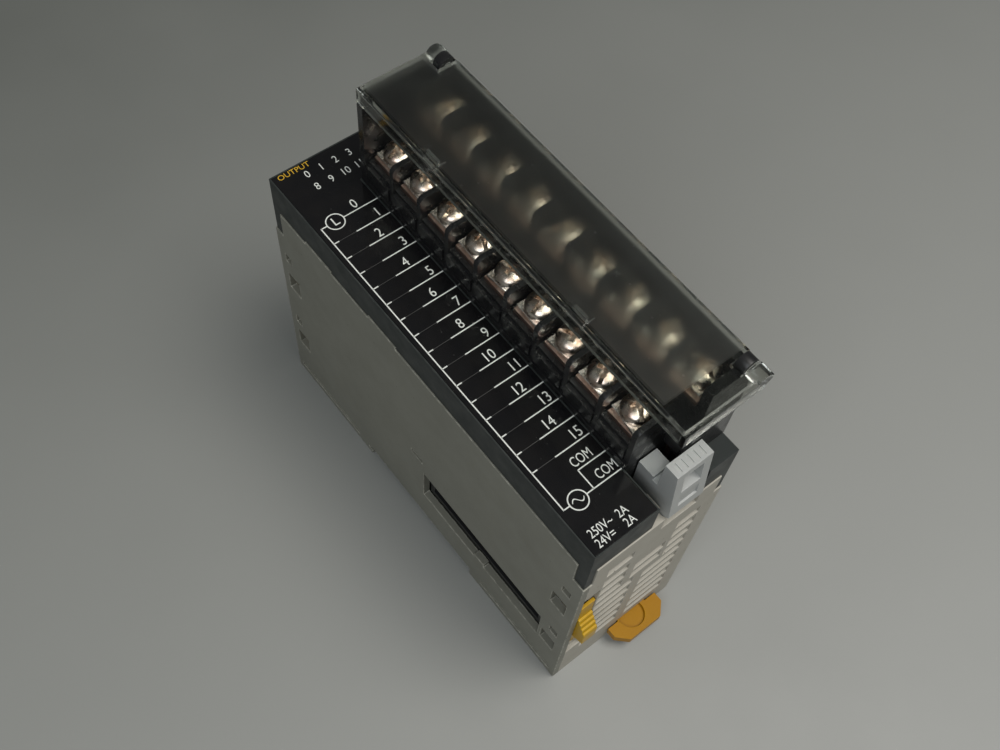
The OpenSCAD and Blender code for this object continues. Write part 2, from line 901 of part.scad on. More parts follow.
module lower_clamp_plates() {
    color("#e4e0d8")
    lower_places()
        clamp_plate();
}

module upper_clamp_plates() {
    color("#e4e0d8")
    upper_places()
        clamp_plate();
}

// Bar with a threaded hole and a blade down to the socket
module terminal_bar(x0, x1, blade_x, blade_z) {
    width = pitch - rib_t - 0.75;
    difference() {
        block([x0, -width / 2, 0], [x1, width / 2, bar_t]);
        translate([0, 0, -eps])
            cylinder(d = thread_d, h = bar_t + 2 * eps);
    }
    block([blade_x, -blade_w / 2, blade_z], [blade_x + blade_t, blade_w / 2, bar_t / 2]);
}

module lower_terminal_bars() {
    color("#c98d62")
    lower_places()
        terminal_bar(-plate_w / 2 - 0.35, step_x - 0.2 - lower_x, lower_blade_x - lower_x,
                     socket_z0 + 1 - lower_z);
}

module upper_terminal_bars() {
    color("#c98d62")
    upper_places()
        terminal_bar(step_x + 0.3 - upper_x, plate_w / 2 + 0.2, upper_blade_x - upper_x,
                     socket_z0 + 1 - upper_z);
}

module terminal_cover() {
    plate_z = cover_z - cover_t;
    knuckle_r = lug_r - 0.1;
    slots = [y_hi - 30.3, y_hi - 66];
    color("#8d9389", 0.6)
    difference() {
        union() {
            difference() {
                block([block_x0, cover_y0, plate_z], [block_x1, block_y1, cover_z]);
                // Notches around the block's lugs
                for (y = [block_y0, far_lug])
                    block([hinge_x - lug_r - 0.5, y - 0.2, plate_z - eps],
                          [block_x1 + eps, y + lug_w + 0.2, cover_z + eps]);
            }
            block([block_x0, cover_y0, cover_z - cover_skirt], [block_x0 + 1.1, block_y1, cover_z]);
            block([block_x0, cover_y0, cover_z - cover_skirt], [block_x1 - 1, cover_y0 + 1.1, cover_z]);
            // Rims around the two clip windows
            for (y = slots)
                block([block_x0, y - 0.6, plate_z], [block_x0 + 2.6, y + 3.6, cover_z + 0.3]);
            // Knuckles outside the lugs, with their pins
            rod_y(hinge_x, hinge_z, knuckle_r, cover_y0, block_y0 - 0.2);
            rod_y(hinge_x, hinge_z, hinge_r, block_y0 - 0.5, block_y0 + lug_w - 0.3);
            rod_y(hinge_x, hinge_z, knuckle_r, far_lug + lug_w + 0.2, block_y1);
            rod_y(hinge_x, hinge_z, hinge_r, far_lug + 0.3, far_lug + lug_w + 0.5);
        }
        for (y = slots)
            block([block_x0 + 1.45, y, plate_z - eps], [block_x0 + 1.95, y + 3, cover_z + 1]);
    }
}

// ---------------------------------------------------------------- moving parts of the case

module release_lever() {
    top_y0 = y_lo + 1.1;
    top_y1 = block_y0 - 0.15;
    x0 = lever_x0;
    x1 = lever_x1;
    color("#b9bab6")
    difference() {
        union() {
            along_x(x0, x1)
                polygon([
                    [top_y0, lever_z], [top_y1, lever_z], [top_y1, pivot_z],
                    [pivot_y, pivot_z - hub_r], [pivot_y - hub_r, pivot_z], [y_lo - 0.3, pivot_z + 1]
                ]);
            rod_x(pivot_y, pivot_z, hub_r, x0, x1);
            rod_x(pivot_y, pivot_z, pivot_r, x0 - side_gap - cheek_t + 0.1, x1 + side_gap + cheek_t - 0.1);
            // Arms that lift the block, seen in the well beside it: one with a flat top, one lower
            along_x(x0, x0 + 3.8)
                polygon([
                    [top_y1 - 1, pivot_z + 0.3], [top_y1 - 1, body_d - 1.2], [top_y1 + 1.2, body_d - 1.2],
                    [top_y1 + 1.2, body_d - 0.1], [lower_y0 - 0.2, body_d - 0.1],
                    [lower_y0 - 0.2, pivot_z + 0.3]
                ]);
            along_x(x0 + 4.7, x0 + 7)
                polygon([
                    [top_y1 - 1, pivot_z + 2], [top_y1 - 1, body_d - 1], [top_y1 + 1.1, body_d - 1.4],
                    [top_y1 + 1.1, pivot_z + 3]
                ]);
        }
        // Window in the front, with a step in its lower half
        block([x0 + 1.7, y_lo - 1, pivot_z + 7.6], [x1 - 1.7, top_y0 + 1, lever_z - 1.4]);
        block([x0 + 1.7, y_lo - 1, pivot_z + 3.2], [x1 - 1.7, y_lo + 0.3, pivot_z + 7.8]);
        // Grooves across the top for the finger
        for (i = [1:5])
            block([x0 + i * lever_w / 6 - 0.2, top_y0 + 0.5, lever_z - 0.2],
                  [x0 + i * lever_w / 6 + 0.2, top_y1 - 0.5, lever_z + eps]);
    }
}

// Slider at the lower end: a lock plate inside, a cover strip in the recess and a ribbed thumb tab
module slider() {
    x0 = slider_x0;
    x1 = x0 + slider_w;
    plate_y0 = y_lo + wall + 0.15;
    plate_y1 = y_lo + 6.1;
    tab_z0 = slider_mid - tab_h / 2;
    tab_z1 = slider_mid + tab_h / 2;
    ribs = 4;
    slope = 4.4;
    difference() {
        union() {
            block([x0, y_lo + 0.05, strip_z0], [x1, y_lo + recess_depth - 0.1, tab_z1 + 5.6]);
            block([x0, y_lo + 0.3, tab_z0], [x0 + 1.9, plate_y0 + 0.3, tab_z1]);
            block([x0, plate_y0, hook_z[0] - 1.4], [x0 + 1.2, plate_y1, hook_z[1] + hook_h + 5.5]);
            along_x(x0, x1)
                polygon(concat(
                    [[y_lo + 0.3, tab_z0], [y_lo + 0.3, tab_z1]],
                    [for (i = [0:ribs - 1]) each [
                        [y_lo - i * tab_reach / ribs, tab_z1 - i * slope / ribs],
                        [y_lo - (i + 0.6) * tab_reach / ribs, tab_z1 - i * slope / ribs]
                    ]],
                    [[y_lo - tab_reach, tab_z1 - slope], [y_lo - tab_reach, tab_z0 + 1.2]]
                ));
        }
        for (z = hook_z)
            block([x0 - eps, -hook_y - hook_w, z], [x0 + 1.2 + eps, -hook_y, z + hook_h]);
    }
}

module lower_slider() {
    color("#e8b21a")
    slider();
}

module upper_slider() {
    color("#e8b21a")
    mirror([0, 1, 0])
        slider();
}

module rail_latch() {
    w = latch_w / 2;
    t = latch_tab_w / 2;
    y1 = y_lo - latch_out;
    y0 = y1 - latch_tab_l;
    chamfer = 2.3;
    color("#c9850f")
    difference() {
        union() {
            translate([latch_x, 0, latch_z])
                linear_extrude(latch_t)
                    union() {
                        polygon([
                            [-t, y1], [-t, y0 + chamfer], [-t + chamfer, y0], [t - chamfer, y0],
                            [t, y0 + chamfer], [t, y1]
                        ]);
                        translate([-w, y1 - 1])
                            square([latch_w, -channel_y - 0.1 - y1 + 1]);
                    }
            translate([latch_x, 0, 0])
                along_x(-w, w)
                    polygon([
                        [-channel_y - 0.1 - nose_t, 0.2], [-channel_y - 0.1 - nose_t, latch_z + 0.5],
                        [-channel_y - 0.1, latch_z + 0.5], [-channel_y - 0.1, lip_t],
                        [-channel_y + lip_reach - 0.3, lip_t], [-channel_y + lip_reach, lip_t - 0.4],
                        [-channel_y + lip_reach, 0.2]
                    ]);
        }
        // Finger recess and a slot for a screwdriver
        translate([latch_x - 0.5, y1 - 0.3, latch_z + latch_t - 0.8])
            cylinder(r = 2.9, h = 1);
    }
}

case_shell();
side_panel();
front_cap();
label_panel();
light_guide();
led_board();
indicator_leds();
led_header();
main_board();
bus_board();
board_link();
bus_controller();
relay_driver_1();
relay_driver_2();
isolator_1();
isolator_2();
reservoir_capacitor();
clock_crystal();
bus_socket();
bus_socket_contacts();
bus_plug();
bus_plug_contacts();
terminal_socket();
socket_contacts();
block_body();
lower_screws();
upper_screws();
lower_clamp_plates();
upper_clamp_plates();
lower_terminal_bars();
upper_terminal_bars();
terminal_cover();
release_lever();
upper_slider();
lower_slider();
rail_latch();
for (i = [0:15])
    relay(i);
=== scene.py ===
import json
import math
import random

import bmesh
import bpy
from mathutils import Matrix, Vector


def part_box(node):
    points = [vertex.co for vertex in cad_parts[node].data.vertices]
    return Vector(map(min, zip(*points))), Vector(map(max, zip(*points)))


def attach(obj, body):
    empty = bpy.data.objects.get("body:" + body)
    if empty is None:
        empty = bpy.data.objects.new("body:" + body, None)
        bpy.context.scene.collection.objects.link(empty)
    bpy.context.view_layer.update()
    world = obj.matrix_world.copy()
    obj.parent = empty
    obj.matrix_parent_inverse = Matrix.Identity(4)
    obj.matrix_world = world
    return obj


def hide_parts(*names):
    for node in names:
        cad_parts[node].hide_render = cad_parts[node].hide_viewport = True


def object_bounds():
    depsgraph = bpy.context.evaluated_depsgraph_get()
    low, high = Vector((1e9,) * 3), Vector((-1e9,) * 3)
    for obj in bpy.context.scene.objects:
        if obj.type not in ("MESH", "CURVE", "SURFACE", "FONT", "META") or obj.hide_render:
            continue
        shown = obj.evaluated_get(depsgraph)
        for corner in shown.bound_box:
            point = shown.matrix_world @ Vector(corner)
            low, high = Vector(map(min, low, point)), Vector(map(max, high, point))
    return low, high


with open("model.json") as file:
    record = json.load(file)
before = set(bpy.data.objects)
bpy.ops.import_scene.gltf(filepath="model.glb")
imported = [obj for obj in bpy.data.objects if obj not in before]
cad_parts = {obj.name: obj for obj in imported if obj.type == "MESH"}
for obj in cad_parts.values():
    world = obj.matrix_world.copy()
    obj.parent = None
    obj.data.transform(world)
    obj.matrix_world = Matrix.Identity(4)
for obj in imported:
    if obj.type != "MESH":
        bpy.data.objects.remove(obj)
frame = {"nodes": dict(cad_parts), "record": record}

# Lengths are in metres, in the frame of the CAD model: X is the module's width, Y its height, Z its depth.
MM = 0.001
NODES = frame["nodes"]
cad_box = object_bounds()
random.seed(7)

# ---------------------------------------------------------------- sizes taken from the frame


def row_of(screws, plates, count):
    """Places of a row of round screw heads along Y, at the top of the plates under them."""
    low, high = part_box(screws)
    width = high.x - low.x
    pitch = (high.y - low.y - width) / (count - 1)
    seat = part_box(plates)[1].z
    return [Vector(((low.x + high.x) / 2, low.y + width / 2 + i * pitch, seat)) for i in range(count)]


TERMINALS = 9
LOWER_ROW = row_of("lower_screws", "lower_clamp_plates", TERMINALS)
UPPER_ROW = row_of("upper_screws", "upper_clamp_plates", TERMINALS)
SCREWS_LOW, SCREWS_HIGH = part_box("lower_screws")
HEAD_R = (SCREWS_HIGH.x - SCREWS_LOW.x) / 2
HEAD_H = SCREWS_HIGH.z - LOWER_ROW[0].z
SHANK_L = LOWER_ROW[0].z - SCREWS_LOW.z
LABEL_LOW, LABEL_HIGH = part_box("label_panel")
COVER_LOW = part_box("terminal_cover")[0]
GUIDE_LOW, GUIDE_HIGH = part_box("light_guide")

# ---------------------------------------------------------------- camera, light and floor

# Where the camera stands, the way it looks, its roll about that way and its focal length in millimetres
CAMERA_AT = Vector((-71.45, -77.48, 225.48)) * MM
CAMERA_LOOK = Vector((0.34800, 0.35733, -0.86672))
CAMERA_ROLL = math.radians(6.77)
CAMERA_LENS = 40.9
CAMERA_CLIP = 0.01

# Two soft lamps over the near end, one to the right and one to the left, that point at the module
LIGHT_AIM = Vector((0.0, 0.0, 0.04))
KEY_AT = Vector((0.18, -0.28, 0.90))
FILL_AT = Vector((-0.62, -0.35, 0.88))
ROOM_COLOUR = (0.72, 0.75, 0.74, 1.0)
ROOM_STRENGTH = 0.16

FLOOR_REACH = 3.0
# The floor lies this far under the module
FLOOR_GAP = 0.02 * MM
# Painted shade: the floor's colour darkens from its near stretch to its far stretch, between these places
# along Y
FLOOR_NEAR_Y = -0.12
FLOOR_FAR_Y = 0.20


def make_camera():
    data = bpy.data.cameras.new("camera")
    data.lens = CAMERA_LENS
    data.clip_start = CAMERA_CLIP
    camera = bpy.data.objects.new("camera", data)
    camera.location = CAMERA_AT
    turn = CAMERA_LOOK.to_track_quat("-Z", "Y").to_matrix() @ Matrix.Rotation(CAMERA_ROLL, 3, "Z")
    camera.rotation_euler = turn.to_euler()
    bpy.context.scene.collection.objects.link(camera)
    bpy.context.scene.camera = camera


def make_area_light(name, place, side, power, colour):
    """A square lamp with the given side, aimed at the module."""
    data = bpy.data.lights.new(name, "AREA")
    data.shape = "SQUARE"
    data.size = side
    data.energy = power
    data.color = colour
    light = bpy.data.objects.new(name, data)
    light.location = place
    light.rotation_euler = (LIGHT_AIM - place).to_track_quat("-Z", "Y").to_euler()
    bpy.context.scene.collection.objects.link(light)


def make_lights():
    make_area_light("key_light", KEY_AT, side=0.45, power=4.9, colour=(1.0, 0.97, 0.92))
    make_area_light("fill_light", FILL_AT, side=0.6, power=4.0, colour=(0.93, 0.97, 1.0))
    world = bpy.data.worlds.new("studio")
    world.use_nodes = True
    background = world.node_tree.nodes["Background"]
    background.inputs["Color"].default_value = ROOM_COLOUR
    background.inputs["Strength"].default_value = ROOM_STRENGTH
    bpy.context.scene.world = world
    bpy.context.scene.view_settings.view_transform = "Standard"


# ---------------------------------------------------------------- material nodes

# Noise values between which a patch of colour, a change of shine and a spot along an edge come in; the edge
# spots are rubbed wear, and on the side panel also painted highlight
PATCH = (0.35, 0.75)
SHINE = (0.3, 0.7)
EDGE_SPOTS = (0.42, 0.62)
EDGE_SPOT_SCALE = 900.0
# Share of the edge wear, and of the side panel's painted edge highlight, that is left between the spots
BETWEEN_SPOTS = 0.15
# Cosines of the normal's turn from which an edge shows and at which it shows in full
EDGE_TURN = (0.995, 0.85)

# The cover is polished over this length of its lower end and this width of its left edge
POLISHED_END = 5.9 * MM
POLISHED_SIDE = 1.35 * MM
# Widths of the change from polished to matt there
END_BLEND = 0.2 * MM
SIDE_BLEND = 0.3 * MM
# Roughness of the cover where it is polished and where it is matt
POLISHED = 0.07
MATT = 0.34


class Paint:
    """One procedural material: a Principled shader and the nodes that drive it, in object coordinates."""

    def __init__(self, name, colour, roughness, **sockets):
        self.material = bpy.data.materials.new(name)
        self.material.use_nodes = True
        self.tree = self.material.node_tree
        self.shader = self.tree.nodes["Principled BSDF"]
        self.colour = (*colour, 1.0)
        self.roughness = roughness
        self.set("Base Color", self.colour)
        self.set("Roughness", roughness)
        for socket, value in sockets.items():
            self.set(socket.replace("_", " "), value)

    def set(self, socket, value):
        self.shader.inputs[socket].default_value = value

    def link(self, source, target):
        self.tree.links.new(source, target)

    def node(self, kind, **settings):
        made = self.tree.nodes.new(kind)
        for key, value in settings.items():
            setattr(made, key, value)
        return made

    def point(self):
        """Object coordinates in metres."""
        return self.node("ShaderNodeTexCoord").outputs["Object"]

    def noise(self, scale, detail=3.0):
        texture = self.node("ShaderNodeTexNoise")
        texture.inputs["Scale"].default_value = scale
        texture.inputs["Detail"].default_value = detail
        self.link(self.point(), texture.inputs["Vector"])
        return texture.outputs["Fac"]

    def ranged(self, value, low, high, to_low, to_high):
        """value from low..high carried to to_low..to_high, and kept between them."""
        reach = self.node("ShaderNodeMapRange")
        reach.inputs["From Min"].default_value = low
        reach.inputs["From Max"].default_value = high
        reach.inputs["To Min"].default_value = to_low
        reach.inputs["To Max"].default_value = to_high
        self.link(value, reach.inputs["Value"])
        return reach.outputs["Result"]

    def past(self, value, edge, blend):
        """0 under the edge and 1 over it, with a change of the given width."""
        return self.ranged(value, edge - blend / 2, edge + blend / 2, 0.0, 1.0)

    def product(self, first, second):
        multiply = self.node("ShaderNodeMath", operation="MULTIPLY")
        self.link(first, multiply.inputs[0])
        self.link(second, multiply.inputs[1])
        return multiply.outputs["Value"]

    def paint_over(self, mask, colour):
        """Colours the surface where mask is 1."""
        mix = self.node("ShaderNodeMix", data_type="RGBA")
        under, over = (socket for socket in mix.inputs if socket.type == "RGBA")
        result = next(socket for socket in mix.outputs if socket.type == "RGBA")
        base = self.shader.inputs["Base Color"]
        if base.links:
            self.link(base.links[0].from_socket, under)
        else:
            under.default_value = self.colour
        over.default_value = (*colour, 1.0)
        self.link(mask, mix.inputs["Factor"])
        self.link(result, base)

    def mottle(self, scale, colour, amount):
        """Soft patches of a second colour."""
        self.paint_over(self.ranged(self.noise(scale), *PATCH, 0.0, amount), colour)

    def vary_roughness(self, scale, spread):
        """Patches that are duller and patches that shine more."""
        low = self.roughness - spread
        high = self.roughness + spread
        patches = self.ranged(self.noise(scale, detail=5.0), *SHINE, low, high)
        self.link(patches, self.shader.inputs["Roughness"])

    def grain(self, scale, height, strength=1.0):
        """Bump of the moulded or rolled surface, height in metres."""
        bump = self.node("ShaderNodeBump")
        bump.inputs["Strength"].default_value = strength
        bump.inputs["Distance"].default_value = height
        self.link(self.noise(scale, detail=4.0), bump.inputs["Height"])
        self.link(bump.outputs["Normal"], self.shader.inputs["Normal"])

    def edge_mask(self, width):
        """1 along the edges of the shape, 0 on its faces."""
        bevel = self.node("ShaderNodeBevel", samples=4)
        bevel.inputs["Radius"].default_value = width
        dot = self.node("ShaderNodeVectorMath", operation="DOT_PRODUCT")
        self.link(bevel.outputs["Normal"], dot.inputs[0])
        self.link(self.node("ShaderNodeNewGeometry").outputs["Normal"], dot.inputs[1])
        return self.ranged(dot.outputs["Value"], *EDGE_TURN, 0.0, 1.0)

    def wear(self, width, colour, amount):
        """Lighter edges, broken up by noise: rubbed wear, and on the side panel also a painted highlight of
        its lit edges.
        """
        broken = self.ranged(self.noise(EDGE_SPOT_SCALE, detail=5.0), *EDGE_SPOTS, BETWEEN_SPOTS * amount, amount)
        self.paint_over(self.product(self.edge_mask(width), broken), colour)

    def specks(self, scale, share, colour):
        """Dust specks, about one in each cell of a Voronoi pattern."""
        cells = self.node("ShaderNodeTexVoronoi")
        cells.inputs["Scale"].default_value = scale
        self.link(self.point(), cells.inputs["Vector"])
        self.paint_over(self.ranged(cells.outputs["Distance"], share * 0.5, share, 1.0, 0.0), colour)


def case_plastic():
    paint = Paint("case_plastic", (0.44, 0.415, 0.355), roughness=0.52)
    paint.mottle(scale=90.0, colour=(0.42, 0.395, 0.34), amount=0.6)
    paint.wear(width=0.35 * MM, colour=(0.66, 0.64, 0.58), amount=0.7)
    paint.specks(scale=420.0, share=0.10, colour=(0.22, 0.20, 0.17))
    paint.vary_roughness(scale=240.0, spread=0.08)
    paint.grain(scale=2600.0, height=0.04 * MM, strength=0.35)
    return paint.material


def panel_plastic():
    # The panel's grey is set darker than the case's, partly its own colour and partly painted shade of its
    # shaded side
    paint = Paint("panel_plastic", (0.225, 0.222, 0.185), roughness=0.50)
    paint.mottle(scale=60.0, colour=(0.185, 0.182, 0.150), amount=0.7)
    # Painted highlight: the side panel's edges are coloured far lighter than the panel, partly as rubbed
    # wear and partly to stand in for the bright lit line along its top seam
    paint.wear(width=0.35 * MM, colour=(0.72, 0.70, 0.60), amount=1.0)
    paint.specks(scale=300.0, share=0.07, colour=(0.12, 0.12, 0.10))
    paint.vary_roughness(scale=150.0, spread=0.10)
    paint.grain(scale=2600.0, height=0.04 * MM, strength=0.4)
    return paint.material


def cap_plastic():
    paint = Paint("cap_plastic", (0.030, 0.035, 0.034), roughness=0.45, Specular_IOR_Level=0.22)
    paint.mottle(scale=120.0, colour=(0.020, 0.024, 0.023), amount=0.6)
    paint.wear(width=0.25 * MM, colour=(0.10, 0.105, 0.10), amount=0.6)
    paint.vary_roughness(scale=300.0, spread=0.08)
    paint.grain(scale=2200.0, height=0.03 * MM, strength=0.3)
    return paint.material


def label_film():
    paint = Paint("label_film", (0.006, 0.006, 0.007), roughness=0.18, Specular_IOR_Level=0.4)
    paint.mottle(scale=200.0, colour=(0.011, 0.010, 0.010), amount=0.8)
    paint.specks(scale=520.0, share=0.05, colour=(0.09, 0.09, 0.085))
    paint.vary_roughness(scale=70.0, spread=0.06)
    paint.grain(scale=260.0, height=0.05 * MM, strength=0.12)
    return paint.material


def ink(name, colour):
    """Printed ink, unevenly covered with a darker shade of itself."""
    paint = Paint(name, colour, roughness=0.5)
    paint.mottle(scale=1500.0, colour=tuple(0.72 * channel for channel in colour), amount=0.5)
    paint.grain(scale=4000.0, height=0.01 * MM)
    return paint.material


def clear_plastic():
    paint = Paint("clear_plastic", (0.86, 0.90, 0.90), roughness=0.12, Transmission_Weight=0.9, IOR=1.49)
    paint.grain(scale=600.0, height=0.02 * MM, strength=0.3)
    return paint.material


def cover_plastic():
    """Clear plastic, matt over the terminals and polished at the lower end and along the left edge."""
    paint = Paint("cover_plastic", (0.54, 0.555, 0.515), roughness=MATT, Transmission_Weight=1.0, IOR=1.40)
    paint.set("Specular IOR Level", 0.3)
    split = paint.node("ShaderNodeSeparateXYZ")
    paint.link(paint.point(), split.inputs["Vector"])
    off_end = paint.past(split.outputs["Y"], COVER_LOW.y + POLISHED_END, END_BLEND)
    off_side = paint.past(split.outputs["X"], COVER_LOW.x + POLISHED_SIDE, SIDE_BLEND)
    matt = paint.product(off_end, off_side)
    paint.link(paint.ranged(matt, 0.0, 1.0, POLISHED, MATT), paint.shader.inputs["Roughness"])
    paint.specks(scale=330.0, share=0.09, colour=(0.95, 0.95, 0.93))
    paint.grain(scale=3200.0, height=0.02 * MM, strength=0.25)
    # Lamps reach the terminals through the cover, as they do through a thin clear moulding
    through = paint.node("ShaderNodeBsdfTransparent")
    through.inputs["Color"].default_value = (0.50, 0.53, 0.50, 1.0)
    mix = paint.node("ShaderNodeMixShader")
    paint.link(paint.node("ShaderNodeLightPath").outputs["Is Shadow Ray"], mix.inputs["Fac"])
    paint.link(paint.shader.outputs["BSDF"], mix.inputs[1])
    paint.link(through.outputs["BSDF"], mix.inputs[2])
    paint.link(mix.outputs["Shader"], paint.tree.nodes["Material Output"].inputs["Surface"])
    return paint.material


def block_black():
    paint = Paint("block_black", (0.010, 0.010, 0.011), roughness=0.30)
    paint.mottle(scale=240.0, colour=(0.018, 0.018, 0.018), amount=0.8)
    paint.wear(width=0.25 * MM, colour=(0.05, 0.05, 0.05), amount=0.7)
    paint.vary_roughness(scale=420.0, spread=0.12)
    paint.grain(scale=1100.0, height=0.05 * MM, strength=0.35)
    return paint.material


def connector_black():
    paint = Paint("connector_black", (0.012, 0.012, 0.013), roughness=0.42)
    paint.grain(scale=1800.0, height=0.03 * MM, strength=0.3)
    return paint.material


def chip_black():
    paint = Paint("chip_black", (0.016, 0.016, 0.018), roughness=0.5)
    paint.vary_roughness(scale=800.0, spread=0.1)
    paint.grain(scale=3000.0, height=0.02 * MM)
    return paint.material


def relay_plastic():
    paint = Paint("relay_plastic", (0.018, 0.022, 0.027), roughness=0.34)
    paint.vary_roughness(scale=500.0, spread=0.1)
    paint.grain(scale=2000.0, height=0.02 * MM)
    return paint.material


def circuit_board():
    paint = Paint("circuit_board", (0.012, 0.12, 0.035), roughness=0.32)
    paint.mottle(scale=500.0, colour=(0.02, 0.17, 0.06), amount=0.8)
    paint.grain(scale=3000.0, height=0.02 * MM, strength=0.5)
    return paint.material


def led():
    paint = Paint("led", (0.78, 0.74, 0.55), roughness=0.3)
    paint.mottle(scale=900.0, colour=(0.85, 0.82, 0.70), amount=0.7)
    return paint.material


def metal(name, colour, stain, roughness, grain_height):
    """Plated metal with patches of a stain, a fine grain and an uneven shine."""
    paint = Paint(name, colour, roughness, Metallic=1.0)
    paint.mottle(scale=700.0, colour=stain, amount=0.85)
    paint.vary_roughness(scale=1400.0, spread=0.08)
    paint.grain(scale=2400.0, height=grain_height, strength=0.5)
    return paint.material


def slider_yellow():
    paint = Paint("slider_yellow", (0.54, 0.32, 0.006), roughness=0.38, Specular_IOR_Level=0.3)
    paint.mottle(scale=150.0, colour=(0.46, 0.24, 0.006), amount=0.6)
    paint.wear(width=0.3 * MM, colour=(0.80, 0.54, 0.06), amount=0.8)
    paint.vary_roughness(scale=300.0, spread=0.08)
    paint.grain(scale=2400.0, height=0.03 * MM, strength=0.3)
    return paint.material


def latch_amber():
    paint = Paint("latch_amber", (0.40, 0.19, 0.003), roughness=0.42, Specular_IOR_Level=0.25)
    paint.mottle(scale=180.0, colour=(0.36, 0.16, 0.002), amount=0.6)
    paint.wear(width=0.3 * MM, colour=(0.60, 0.34, 0.02), amount=0.5)
    paint.vary_roughness(scale=300.0, spread=0.08)
    paint.grain(scale=2400.0, height=0.03 * MM, strength=0.3)
    return paint.material


def lever_plastic():
    paint = Paint("lever_plastic", (0.44, 0.45, 0.44), roughness=0.45)
    paint.mottle(scale=140.0, colour=(0.38, 0.39, 0.38), amount=0.6)
    paint.wear(width=0.35 * MM, colour=(0.62, 0.63, 0.61), amount=0.7)
    paint.vary_roughness(scale=300.0, spread=0.08)
    paint.grain(scale=2400.0, height=0.03 * MM, strength=0.3)
    return paint.material


def floor_surface():
    """Pale sheet, with painted shade that darkens it towards its far end."""
    paint = Paint("floor_surface", (0.40, 0.405, 0.39), roughness=0.55)
    split = paint.node("ShaderNodeSeparateXYZ")
    paint.link(paint.point(), split.inputs["Vector"])
    far = paint.ranged(split.outputs["Y"], FLOOR_NEAR_Y, FLOOR_FAR_Y, 0.0, 1.0)
    # Painted shade: the far stretch of the floor is coloured darker
    paint.paint_over(far, (0.12, 0.128, 0.116))
    paint.mottle(scale=9.0, colour=(0.30, 0.305, 0.29), amount=0.3)
    paint.vary_roughness(scale=40.0, spread=0.06)
    paint.grain(scale=900.0, height=0.05 * MM, strength=0.2)
    return paint.material


def make_floor():
    mesh = bpy.data.meshes.new("floor")
    signs = ((-1, -1), (1, -1), (1, 1), (-1, 1))
    mesh.from_pydata([(x * FLOOR_REACH, y * FLOOR_REACH, 0) for x, y in signs], [], [(0, 1, 2, 3)])
    mesh.materials.append(floor_surface())
    floor = bpy.data.objects.new("floor", mesh)
    floor.location.z = cad_box[0].z - FLOOR_GAP
    bpy.context.scene.collection.objects.link(floor)


# The material of each slot that the record names
MATERIALS = {
    "case_plastic": case_plastic(),
    "panel_plastic": panel_plastic(),
    "cap_plastic": cap_plastic(),
    "label_film": label_film(),
    "clear_plastic": clear_plastic(),
    "circuit_board": circuit_board(),
    "led": led(),
    "connector_black": connector_black(),
    "chip_black": chip_black(),
    "can_metal": metal("can_metal", (0.62, 0.64, 0.66), (0.50, 0.50, 0.50), 0.3, 0.01 * MM),
    "contact_gold": metal("contact_gold", (0.80, 0.58, 0.22), (0.70, 0.46, 0.16), 0.25, 0.01 * MM),
    "relay_plastic": relay_plastic(),
    "block_black": block_black(),
    "screw_metal": metal("screw_metal", (0.74, 0.68, 0.60), (0.32, 0.17, 0.11), 0.29, 0.015 * MM),
    "plate_metal": metal("plate_metal", (0.86, 0.83, 0.79), (0.55, 0.45, 0.38), 0.24, 0.02 * MM),
    "bar_metal": metal("bar_metal", (0.66, 0.50, 0.42), (0.46, 0.27, 0.20), 0.34, 0.02 * MM),
    "cover_plastic": cover_plastic(),
    "lever_plastic": lever_plastic(),
    "slider_yellow": slider_yellow(),
    "latch_amber": latch_amber(),
}


# ---------------------------------------------------------------- CAD nodes with rounded edges

WELD_DISTANCE = 0.001 * MM
# Faces that turn less than this are joined
FLAT_TURN = math.radians(0.5)
# Edges that turn more than this are rounded
EDGE_ANGLE = math.radians(40)
# Width of the rounded edges of the nodes that are seen from outside
EDGE = {
    "case_shell": 0.22 * MM,
    "side_panel": 0.2 * MM,
    "front_cap": 0.3 * MM,
    "label_panel": 0.06 * MM,
    "block_body": 0.22 * MM,
    "terminal_cover": 0.16 * MM,
    "release_lever": 0.15 * MM,
    "upper_slider": 0.15 * MM,
    "lower_slider": 0.15 * MM,
    "rail_latch": 0.3 * MM,
    "lower_clamp_plates": 0.12 * MM,
    "upper_clamp_plates": 0.12 * MM,
    "lower_terminal_bars": 0.12 * MM,
    "upper_terminal_bars": 0.12 * MM,
    "bus_plug": 0.15 * MM,
    "bus_socket": 0.1 * MM,
}
# Nodes whose faces with holes in them don't stand being joined before they are rounded
KEEP_FACETS = {"release_lever"}


def round_edges(node, width, keep_facets):
    """Rounds a CAD node's edges with modifiers, which leave its own mesh as it is."""
    weld = node.modifiers.new("weld", "WELD")
    weld.merge_threshold = WELD_DISTANCE
    if not keep_facets:
        flat = node.modifiers.new("flat", "DECIMATE")
        flat.decimate_type = "DISSOLVE"
        flat.angle_limit = FLAT_TURN
    bevel = node.modifiers.new("bevel", "BEVEL")
    bevel.width = width
    bevel.segments = 2
    bevel.limit_method = "ANGLE"
    bevel.angle_limit = EDGE_ANGLE
    normals = node.modifiers.new("normals", "WEIGHTED_NORMAL")
    normals.keep_sharp = True


def dress_nodes():
    """Gives each CAD node the material of its slot in the record, and rounds those that show."""
    for part in frame["record"]["subparts"]:
        name = part["node"]
        node = NODES[name]
        for place in node.material_slots:
            place.material = MATERIALS[part["material_slot"]]
        if name in EDGE:
            round_edges(node, EDGE[name], name in KEEP_FACETS)


# ---------------------------------------------------------------- terminal screws

# Sizes of a screw in millimetres
SHANK_R = 1.45
# Upright rim of the head, as a share of its height
RIM_SHARE = 0.34
DOME_STEPS = 6
DOME_TURN = 0.25
SCREW_STEPS = 48
# Points closer than this are joined where the turned shape closes
SEAM = 0.0001
SLOT_W = 0.72
SLOT_DEPTH = 1.0
